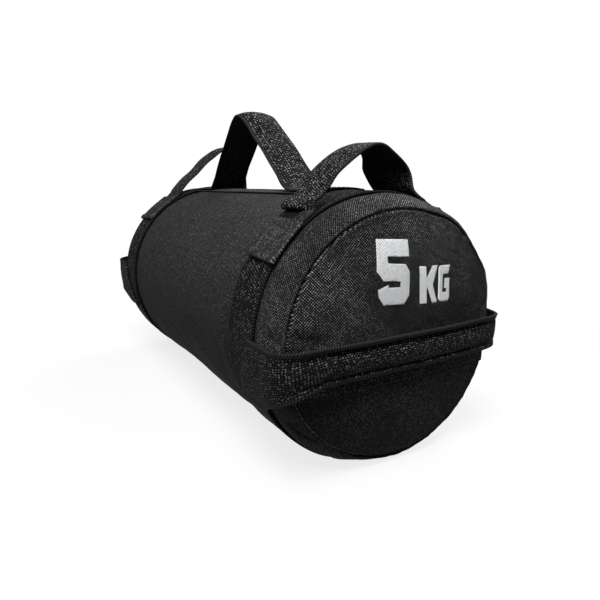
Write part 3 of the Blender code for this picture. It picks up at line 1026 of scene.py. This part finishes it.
def band_webbing(end, finish):
    """A girth band: webbing round the barrel, with the seam's corded edge."""
    across = columns_across(27)
    outer = seam_distance - clearance / 2
    x = (end_sign[end] * (outer - band_width / 2 * (1 - across)))[:, None]
    angles = round_angles[None]
    half = edge_section(across, band_thickness, 0.35)[:, None]
    wave = waviness(angles * bag_radius, x * 0.5, 60, 0.05) * 0.18 * millimetre
    radius = band_radius - band_thickness / 2 + np.clip(wave, -1, 0.2 * millimetre)
    depth = underside_depth + clearance + band_thickness
    outside = round_bag(x, angles, radius + half, depth)
    inside = round_bag(x, angles, radius - half, depth - band_thickness)
    place = spun_place(across * strap_width / 2)[..., ::-1]
    mesh = slab(end + "_band_webbing", outside, inside, place, wrapped=True)
    return add_piece(end + "_band_webbing", mesh, finish, "bag", [end + "_girth_band"])


def arc_surface(x_of, angle_of, radius_of, rows, across):
    """A middle surface wrapped round the bag above its underside, by shares along it."""
    share = np.linspace(0, 1, rows)[:, None]
    t = across[None]
    unsettled = 1.0
    return round_bag(x_of(share, t), angle_of(share, t), radius_of(share, t), unsettled)


def cross_tab(end, side, finish, seams):
    """The sewn tab on one foot of a cross handle, with its end turned under."""
    sign = end_sign[end]
    way = -1 if side == "left" else 1
    turn = cross_turn[end]
    across = columns_across(23)
    rows = 46
    first, last = (math.radians(angle) for angle in tab_angles[end])
    middle = sign * band_middle + (near_tab_shift if end == "near" else 0)
    wave_seed = 70 + (way > 0) + 2 * (sign > 0)

    def radius_of(share, t):
        """Lifted over the handle's tail at its start, and rolled at its turned end."""
        lifted = 0.9 * (1 - smooth_step(share, 0.0, 0.25))
        end_roll = 0.75 * smooth_step(share, 0.80, 0.93)
        wave = waviness(share * 0.03, t * 0.019, wave_seed, 0.02) * 0.22
        return sewn_radius + (lifted + end_roll + wave * (1 - 0.5 * share)) * millimetre

    def angle_of(share, t):
        """Down the side, a little slanted."""
        slant = 0.012 * t * sign * way
        return way * (first + share * (last - first)) - turn + slant

    surface = arc_surface(lambda share, t: middle + t * strap_width / 2 + 0 * share, angle_of,
                          radius_of, rows, across)
    strap = Strap(surface, across, (0, way, 1), cord=0.18)
    share = np.linspace(0, 1, rows)
    thick = 1 + 0.75 * smooth_step(share, 0.80, 0.90)
    thick = thick * np.sqrt(np.clip(1 - ((share - 0.955) / 0.05).clip(0) ** 2, 0.05, 1))
    strap.half = strap.half * thick[:, None, None]
    length = strap.along[-1]
    seams += strap.box(0.006, length * 0.80, 0.80)
    seams.append(strap.seam((length * 0.86, -0.8), (length * 0.86, 0.8)))
    return strap.piece("_".join((end, "tab", side, "webbing")), finish, "bag",
                       "_".join((end, "cross_tab", side)))


def runner_webbing(finish, seams):
    """The flat strip sewn along the top of the barrel."""
    across = columns_across(21)
    reach = seam_distance - band_width - clearance * 2
    middle_radius = bag_radius + clearance + band_thickness / 2

    def radius_of(share, t):
        """Hardly wavy, and flat at both edges."""
        wave = waviness(share * 0.28, t * 0.02, 80, 0.05) * 0.15 * millimetre
        return middle_radius + wave * (1 - t ** 2)

    surface = arc_surface(lambda share, t: reach * (2 * share - 1) + 0 * t,
                          lambda share, t: t * strap_width / 2 / bag_radius + 0 * share,
                          radius_of, 150, across)
    strap = Strap(surface, across, (0, 0, 1), band_thickness, 0.25)
    seams += strap.long_seams(0.8)
    return strap.piece("runner_webbing", finish, "bag", "top_runner")


def base_webbing(end, finish, seams, lift):
    """The flat strip sewn across an end disc, behind the end handle."""
    sign = end_sign[end]
    across = columns_across(23)
    side = np.linspace(-strip_half_run, strip_half_run, 120)[:, None]
    height = end_heights[end] + strip_offset + across[None] * strip_half_width + 0 * side
    side = side + 0 * height
    face = disc_out(end, side, height, lift) + 0.25 * millimetre + strap_thickness / 2
    wave = waviness(side, height, panel_seed[end] + 7, 0.04) * 0.12 * millimetre
    surface = np.stack([sign * (face + wave), side, height + axis_height], -1)
    strap = Strap(surface, across, (sign, 0, 0), cord=0.28, half_width=strip_half_width)
    seams += strap.long_seams(0.78)
    return strap.piece(end + "_base_webbing", finish, "bag", end + "_end_strip")


# ---------------------------------------------------------------- handles

# each cross handle's arch: shares of its half span and of its rise
cross_arches = {
    "near": ((-1.0, 0.155), (-0.885, 0.225), (-0.742, 0.375), (-0.587, 0.574), (-0.306, 0.80),
             (-0.07, 0.943), (0.12, 1.0), (0.29, 0.955), (0.45, 0.786), (0.585, 0.500),
             (0.735, 0.245), (0.90, 0.095)),
    "far": ((-0.95, 0.06), (-0.87, 0.16), (-0.65, 0.36), (-0.34, 0.59), (-0.03, 0.83),
            (0.25, 1.02), (0.50, 1.10), (0.74, 1.08), (0.92, 0.90), (1.0, 0.60), (1.01, 0.28))}

# a foot's way under its tab: degrees past the foot, and millimetres off the band
plain_foot = ((3.2, 0.9), (1.3, 1.1), (0.2, 1.8))
folded_foot = ((6.4, 0.8), (4.0, 0.9), (2.0, 0.9), (0.6, 1.0), (-0.4, 1.3), (-0.9, 2.4),
               (0.1, 3.6), (1.5, 4.3), (2.1, 5.5), (1.2, 6.7))


def cross_line(end, distances_along):
    """A cross handle's line and the line of its outer edge, which goes straight under its tab.

    Gives both lines as (sideways, up) from the axis at each distance, the whole length,
    and where the left foot's fold ends.
    """
    angle = cross_foot[end]
    foot = band_radius + cross_lift
    held = (tab_angles[end][0] - math.degrees(angle) + 2.4, 0.8)

    def tail(bends, way):
        """The line of a foot from under its tab upwards, to the left or the right."""
        return [(way * (band_radius + off * millimetre) * math.sin(math.radians(past) + angle),
                 (band_radius + off * millimetre) * math.cos(math.radians(past) + angle))
                for past, off in (held,) + bends]

    rest = [(side * foot * math.sin(angle), foot * math.cos(angle) + up * cross_rise[end])
            for side, up in cross_arches[end]] + tail(plain_foot, 1)[::-1]
    bends = folded_foot if end == "near" else plain_foot
    run, straight = Run(tail(bends, -1) + rest), Run(tail(plain_foot, -1) + rest)
    distance = distances_along * run.length
    bend_end = run.to_point(len(bends) + 1)
    straight_end = straight.to_point(len(plain_foot) + 1)
    other = np.interp(distance, [0, bend_end, run.length], [0, straight_end, straight.length])
    return run.at(distance), straight.at(other), run.length, bend_end


def twisted(surface, t):
    """The near cross handle's right leg, turned to show its inside, and kept off the band."""
    side, up = surface[..., 1], surface[..., 2]
    twist = smooth_step(side, 0.004, 0.020) * smooth_step(0.131 - up, 0, 0.016)
    foot_ease = (1 + t) / 2 * (1 - smooth_step(up, 0.094, 0.114))
    side = side + 7.0 * millimetre * t * twist * (1 - foot_ease)
    push = np.maximum((band_radius + 1.1 * millimetre) / np.hypot(side, up), 1)
    return np.stack([surface[..., 0], side * push, up * push], -1)


def cross_webbing(end, finish):
    """A cross handle: a loop of webbing whose tails fold in and run under its two tabs."""
    sign = end_sign[end]
    across = columns_across(29)
    share = np.linspace(0, 1, 300)
    line, edge_line, length, bend_end = cross_line(end, share)
    distance, share = share * length, share[:, None]
    t = across[None]
    flat = smooth_step(t, 0.05, 0.65)[..., None]
    line = line[:, None] * (1 - flat) + edge_line[:, None] * flat
    x = sign * band_middle + t * strap_width / 2 + 0 * share
    surface = np.stack([x, line[..., 0], line[..., 1]], -1)
    cup = 1.6 * hump(share, 0.5, 0.25) * (1 - t ** 2)
    wave = waviness(share * 0.15, t * 0.02, 90 + (end == "near"), 0.03) * 0.35 * smooth_step(
        0.5 - np.abs(share - 0.5), 0.06, 0.15)
    surface = Strap(surface, across, (0, 0, 1)).raised(cup + wave)
    if end == "near":
        surface = twisted(surface, t)
    lean = cross_turn[end]
    x, side, up = np.moveaxis(surface, -1, 0)
    surface = np.stack([x, side * math.cos(lean) - up * math.sin(lean),
                        side * math.sin(lean) + up * math.cos(lean) + axis_height], -1)
    strap = Strap(surface, across, (0, 0, 1))
    tail_length = 0.008
    thinned = 0.45 + 0.55 * smooth_step(np.minimum(distance, length - distance), 0, tail_length)
    strap.half = strap.half * thinned[:, None, None]
    if end == "near":
        # painted shade darkens the pocket under the fold, and painted light brightens the inside
        # of the right leg's foot
        pocket = 1 - smooth_step(distance, bend_end - 0.012, bend_end - 0.007)[:, None]
        strap.painted_shade = (pocket * (1 - smooth_step(t, 0.1, 0.5)),
                        1 - 2.8 * smooth_step(share, 0.70, 0.80) * smooth_step(t, -0.7, 0.3))
    piece = strap.piece(end + "_cross_webbing", finish, None, end + "_cross_handle")
    up = Vector((0, -math.sin(lean), math.cos(lean)))
    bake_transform(piece)
    return piece


# the top handle's arch: shares of its span and of its rise
top_arch = ((0.035, 0.10), (0.14, 0.41), (0.235, 0.65), (0.315, 0.86), (0.36, 0.955),
            (0.405, 1.0), (0.46, 0.965), (0.54, 0.84), (0.66, 0.61), (0.77, 0.395), (0.87, 0.18),
            (0.955, 0.04))


def top_webbing(finish, seams):
    """The lengthways handle: one strap whose two ends lie sewn on the runner."""
    lie = sewn_radius
    far_foot, near_foot = top_feet
    span = near_foot - far_foot
    ends = seam_distance - band_width - clearance - 0.0032
    points = [(-ends, lie), (-ends * 0.93, lie), (far_foot - 0.0080, lie),
              (far_foot - 0.0030, lie + 0.0001)]
    points += [(far_foot + along * span, band_radius + top_lift + up * top_rise)
               for along, up in top_arch]
    points += [(near_foot + 0.0030, lie + 0.0001), (near_foot + 0.0120, lie), (ends * 0.93, lie),
               (ends, lie)]
    run = Run(points)
    across = columns_across(25)
    distance = np.linspace(0, run.length, 250)
    line = run.at(distance)
    share = (distance / run.length)[:, None]
    t = across[None]
    x = line[:, 0:1] + 0 * t
    height = line[:, 1:2] + 0 * t
    sewn = 1 - smooth_step(height, lie, lie + 0.012)
    angle = t * strap_width / 2 / bag_radius
    side = t * strap_width / 2 * (1 - sewn) + height * np.sin(angle) * sewn
    drop = height * (1 - np.cos(angle)) * sewn
    strap = Strap(np.stack([x, side, height - drop], -1), across, (0, 0, 1))
    free = smooth_step(height, lie + 0.004, lie + 0.02)
    cup = (4.0 * hump(share, 0.44, 0.10) + 0.6) * (1 - t ** 2) * free
    wave = waviness(share * 0.33, t * 0.02, 100, 0.035) * 0.45 * free
    surface = strap.raised(cup + wave)
    surface[..., 2] += axis_height
    strap = Strap(surface, across, (0, 0, 1))
    piece = strap.piece("top_webbing", finish, None, "top_handle", "top_handle_near_foot",
                        "top_handle_far_foot")
    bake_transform(piece)
    length = strap.along[-1]
    seams += strap.box(0.004, 0.020, crossed=True)
    seams += strap.box(length - 0.052, length - 0.004, crossed=True)
    return piece


# an end handle's line: shares of its reach beyond the seam, and of its half width
end_shares = ((0.30, -1.0), (0.60, -0.996), (0.80, -0.965), (0.94, -0.875), (0.99, -0.70),
              (1.0, -0.36), (1.0, 0.0), (0.975, 0.35), (0.935, 0.57), (0.87, 0.755),
              (0.77, 0.86), (0.63, 0.92), (0.44, 0.957), (0.25, 0.98))

# its folds where it is gathered: places across it, and millimetres out
end_folds = (
    (-1.0, -0.93, -0.86, -0.78, -0.70, -0.60, -0.50, -0.30, 0.0, 0.25, 0.45, 0.56, 0.64, 0.70,
     0.78, 0.86, 0.93, 1.0),
    (-1.5, 0.0, 0.8, 0.2, -1.8, -1.2, 0.6, 2.6, 3.4, 2.8, 0.8, -1.6, -2.4, -1.6,
     1.6, 3.0, 3.3, 2.4))


def end_webbing(end, finish, seams):
    """An end handle: one strap level round the end, gathered where the hand holds it."""
    sign = end_sign[end]
    outer = seam_distance - clearance
    patch = [outer - end_patch, outer - end_patch * 0.67, outer - end_patch * 0.33, outer - 0.001]
    points = [(x, -sewn_radius) for x in patch]
    points += [(seam_distance + out * end_reach, side * sewn_radius) for out, side in end_shares]
    points += [(x, sewn_radius) for x in reversed(patch)]
    run = Run(points)
    across = columns_across(53)
    t = across[None]
    start = end_patch * np.interp(t, [-1, 1], [0.15, 0.93])
    distance = start + (run.length - 2 * start) * np.linspace(0, 1, 320)[:, None]
    line = run.at(distance)
    ends = np.minimum(distance, run.length - distance)
    share = np.clip((ends - end_patch) / (run.length / 2 - end_patch), 0, 1)
    right = (distance > run.length / 2) & (end == "near")
    gathered = np.clip(share * np.where(right, 4.2, 2), 0, 1)
    gathered = gathered + 0.05 * np.sin(gathered * math.pi) ** 2
    low = end_heights[end] + t * end_half_width
    raised = 2.0 * millimetre * smooth_step(share, 0.15, 0.5)
    height = low + end_gather * gathered * (1 - t) / 2 + raised * (1 + t) / 2
    hollow = sewn_radius - np.sqrt(sewn_radius ** 2 - low ** 2)
    wrap = np.clip(1 - share * 3, 0, 1) * hollow
    side = line[..., 1] - np.sign(line[..., 1]) * wrap
    surface = np.stack([line[..., 0], side, height], -1)
    folds = np.interp(across, *end_folds)[None] * smooth_step(share, 0.16, 0.62)
    wave = waviness(distance, t * 0.02, 110 + sign, 0.045) * 0.35
    press = smooth_step(ends, end_patch - 0.004, end_patch + 0.02)
    surface = Strap(surface, across, (1, 0, 0)).raised(folds + wave * press)
    surface[..., 2] += axis_height
    surface[..., 0] *= sign
    strap = Strap(surface, across, (sign, 0, 0), cord=0.34, half_width=end_half_width)
    piece = strap.piece(end + "_end_webbing", finish, None, end + "_end_handle",
                        end + "_end_patch_left", end + "_end_patch_right")
    start = Vector((sign * (seam_distance - 0.002), 0, axis_height + end_heights[end]))
    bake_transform(piece)
    length = strap.along[-1]
    seams += strap.box(0.004, 0.016, 0.82)
    seams += strap.box(length - 0.016, length - 0.004, 0.82)
    return piece


# ---------------------------------------------------------------- weight marking

# outlines in millimetres, sideways and upwards from the bag's axis
figure_five = ((-24.5, 71.5), (1, 70), (1.5, 58.5), (-16.5, 59.5), (-16, 55), (-1.5, 53.5),
               (2, 48), (2.5, 31.5), (-1.5, 25.5), (-19.5, 27), (-24, 33), (-24.5, 38),
               (-16, 40.5), (-15.5, 38.5), (-5.5, 38), (-5.5, 42), (-20, 43.5), (-25.5, 50))
letter_k = ((10.5, 51), (16.5, 50.5), (17, 42), (22.5, 50.5), (27.5, 50.5), (23, 37), (27.5, 24),
            (23, 23.5), (18, 36), (17.5, 34.5), (18, 24), (12, 24.5))
letter_g = ((30, 50), (41, 49.5), (39, 43.5), (34, 43.5), (33, 43), (32.5, 30.5), (36.5, 30.5),
            (37, 33), (34.5, 33.5), (35, 40.5), (40.5, 40), (40, 26), (38.5, 23.5), (30.5, 24),
            (28.5, 26), (28.5, 48))


def printed(name, shapes, finish, panel):
    """Ink laid on the near panel in the given outlines, cut fine enough to follow it."""
    cloth = tree_of(panel)
    cell, above, below = 0.0012, 0.14, -0.40
    form = bmesh.new()
    for outline in shapes:
        form.faces.new([form.verts.new((0, side * millimetre, up * millimetre))
                        for side, up in outline])
    form.normal_update()
    bmesh.ops.triangulate(form, faces=form.faces)
    for axis, normal in ((1, (0, 1, 0)), (2, (0, 0, 1))):
        low = min(vertex.co[axis] for vertex in form.verts)
        high = max(vertex.co[axis] for vertex in form.verts)
        for cut in np.arange(low + cell, high, cell):
            place = [0, 0, 0]
            place[axis] = float(cut)
            bmesh.ops.bisect_plane(form, geom=form.verts[:] + form.edges[:] + form.faces[:],
                                   plane_co=place, plane_no=normal)
    raised = bmesh.ops.extrude_face_region(form, geom=form.faces[:])
    moved = {v for v in raised["geom"] if isinstance(v, bmesh.types.BMVert)}
    for vertex in form.verts:
        y, z = vertex.co.y, vertex.co.z
        stand = above if vertex in moved else below
        place = cloth.ray_cast((disc_rim * 2, y, z + axis_height), (-1, 0, 0))[0]
        vertex.co.x = place.x + stand * millimetre
    layer = form.loops.layers.float_vector.new("cloth")
    for face in form.faces:
        for loop in face.loops:
            loop[layer] = (loop.vert.co.y, loop.vert.co.z, 0)
    for vertex in form.verts:
        vertex.co.z += axis_height
    bmesh.ops.recalc_face_normals(form, faces=form.faces)
    mesh = bpy.data.meshes.new(name)
    form.to_mesh(mesh)
    form.free()
    return add_piece(name, mesh, finish, "bag")


# ---------------------------------------------------------------- inside

def liner_cloth(finish):
    """The inner bag, gathered in pleats to its tied neck at the far end."""
    radius = bag_radius - cloth_thickness - clearance
    thin = 0.0006
    points = [(0.2066, 0.0004), (0.2066, 0.030), (0.2064, 0.060), (0.2060, 0.0860),
              (0.2020, 0.0915), (0.1950, 0.0945), (0.1880, 0.0968), (0.1790, radius),
              (0.09, radius), (0.0, radius), (-0.09, radius), (-0.1790, radius),
              (-0.1885, 0.0940), (-0.1914, 0.0700), (-0.1914, 0.0400), (-0.1916, 0.0190),
              (-0.1930, 0.0128), (-0.1990, 0.0120), (-0.2030, 0.0128), (-0.2064, 0.0150)]
    run = Run(points)
    line = run.even(230)
    x, out = line[:, 0:1], np.clip(line[:, 1:2], 0.0004, radius - 0.0002)
    angle = round_angles[None]
    pleat = np.sin(angle * 18 + 1.3 * np.sin(angle * 5)) * smooth_step(-x, 0.1895, 0.1915)
    deep = smooth_step(out, 0.010, 0.03) * (1 - smooth_step(out, 0.05, 0.09)) * 0.8
    neck = (1 - smooth_step(out, 0.012, 0.02)) * 0.35
    shift = pleat * (deep + 0.2) * millimetre * smooth_step(radius - out, 0, 0.02)
    outer = out * (1 + pleat * neck * 0.12)
    depth = underside_depth - cloth_thickness - clearance - 0.001
    x = x + shift * 0.4 * (x < -0.18)
    inner_x = x + np.where(line[:, 0:1] > 0.2, -thin, 0) \
        + np.where((line[:, 0:1] < -0.189) & (out > 0.016), thin, 0)
    outside = round_bag(x, angle, outer, depth)
    inside = round_bag(inner_x, angle, np.clip(outer - thin, 0.0002, None), depth - thin)
    place = spun_place(np.linspace(0, run.length, len(line)))
    return add_piece("liner_cloth", slab("liner_cloth", outside, inside, place, wrapped=True),
                     finish, "bag", ["inner_liner"])


def liner_cord(finish):
    """The cord tied twice round the liner's neck, with its knot and two short ends."""
    middle = -0.1990
    turns = np.linspace(0, 2 * full_turn, 150)
    radius = 0.01405
    drift = np.linspace(-0.0011, 0.0011, 150)
    wound = np.stack([middle + drift, radius * np.sin(turns), radius * np.cos(turns)], -1)
    loose = ((0.0011, 0.0012, 0.0150), (0.0016, 0.0034, 0.0163), (0.0014, 0.0060, 0.0168))
    head = [(middle - x, -side, up) for x, side, up in reversed(loose)]
    tail = [(middle + x, side, up) for x, side, up in loose]
    run = Run(np.vstack([head, wound[2:-2:4], tail]), 6)
    distance = np.linspace(0, run.length, 420)
    line = run.at(distance)
    line[:, 2] += axis_height
    sides = 12
    way = np.gradient(line, axis=0)
    way /= np.linalg.norm(way, axis=1, keepdims=True)
    first = np.cross(way, [1.0, 0, 0])
    first /= np.linalg.norm(first, axis=1, keepdims=True)
    second = np.cross(way, first)
    spin = np.arange(sides) * full_turn / sides
    strands = distance[:, None] * full_turn / tie_pitch + spin[None] * 2
    thick = 0.00105 * (1 + 0.06 * np.sin(strands))
    fade = np.clip(np.minimum(distance, run.length - distance) / 0.0006, 0.15, 1)[:, None]
    ring = first[:, None] * np.cos(spin)[:, None] + second[:, None] * np.sin(spin)[:, None]
    tube = line[:, None] + ring * (thick * fade)[..., None]
    row, column = grid_cells(len(tube) - 1, sides)
    place = np.stack([np.stack([distance[row + a], (column + b) * 0.0005, 0.0 * row], -1)
                      for a, b in ((0, 0), (0, 1), (1, 1), (1, 0))], 1)
    mesh = mesh_of("liner_cord", tube.reshape(-1, 3), tube_faces(len(tube), sides), place)
    return add_piece("liner_cord", cleaned(mesh, cap=True), finish, "bag", ["liner_tie"])


def filling_heap(finish):
    """The loose filling: one grainy heap that fills the inner bag, slumped at its gathered end."""
    inset = 0.0011
    radius = bag_radius - cloth_thickness - clearance - inset
    points = [(0.2052, 0.0), (0.2052, 0.04), (0.2050, 0.078), (0.2030, 0.0880), (0.1950, 0.0925),
              (0.1880, 0.0950), (0.1780, radius), (0.06, radius), (-0.06, radius),
              (-0.1770, radius), (-0.1860, 0.0930), (-0.1896, 0.0700), (-0.1896, 0.0300),
              (-0.1896, 0.0)]
    line = Run(points).even(200)
    x = line[:, 0:1]
    out = np.clip(line[:, 1:2], 0.0, radius)
    angle = round_angles[::2][None]
    rough = waviness(x, angle * bag_radius, 120, 0.012) * 0.25 * millimetre
    out = np.clip(out - np.abs(rough) * (out > 0.01), 0, None)
    depth = underside_depth - cloth_thickness - clearance - 0.001 - inset
    tube = round_bag(x, angle, out, depth)
    mesh = plain_mesh("filling_heap", tube.reshape(-1, 3).tolist(),
                      tube_faces(*tube.shape[:2]).tolist())
    return add_piece("filling_heap", cleaned(mesh, merge=1e-5), finish, "bag", ["filling"])


# ---------------------------------------------------------------- the bag

def dress_bag():
    """Makes every piece of the bag."""
    webbing = webbing_finish("webbing", 0.72, 0.7)
    # the band webbing is darker than the handles': partly its own coarser webbing, partly painted
    # shade for the bag's side, where it lies
    band = webbing_finish("band_webbing", 0.40, 0.45, 0.0024)
    strip = webbing_finish("strip_webbing", 0.90, 1.4)
    base = webbing_finish("base_webbing", 0.60, 0.6, half_width=strip_half_width)
    oxford = oxford_finish()
    tab = tab_finish()
    lengthways = webbing_finish("lengthways_webbing", 0.62, 0.7, 0.0028)
    thread = thread_finish()
    grip = webbing_finish("grip_webbing", 0.72, 0.75, 0.0022, end_half_width, 0.0038)
    seams, handle_seams, panels = [], [], {}

    tree = swollen_body()
    barrel = barrel_cloth(barrel_finish(), tree)
    for end in ("near", "far"):
        lift = panel_lift(end, tree)
        ring = shoulder_cloth(end, oxford, tree)
        panels[end] = end_panel(end, oxford, lift)
        band_webbing(end, band)
        for side in ("left", "right"):
            cross_tab(end, side, tab, seams)
        base_webbing(end, base, seams, lift)
        cross_webbing(end, webbing)
        end_webbing(end, grip, handle_seams)
    runner_webbing(strip, seams)
    top_webbing(lengthways, handle_seams)
    stitches = stitch_mesh("bag_stitching", seams + handle_seams)
    add_piece("bag_stitching", stitches, thread, "bag")

    ink = print_finish()
    printed("weight_figure", [figure_five], ink, panels["near"])
    printed("weight_letters", [letter_k, letter_g], ink, panels["near"])

    liner = liner_cloth(liner_finish())
    liner_cord(tie_finish())
    filling_heap(granulate_finish())


place_camera()
lay_floor()
light_studio()
dress_bag()
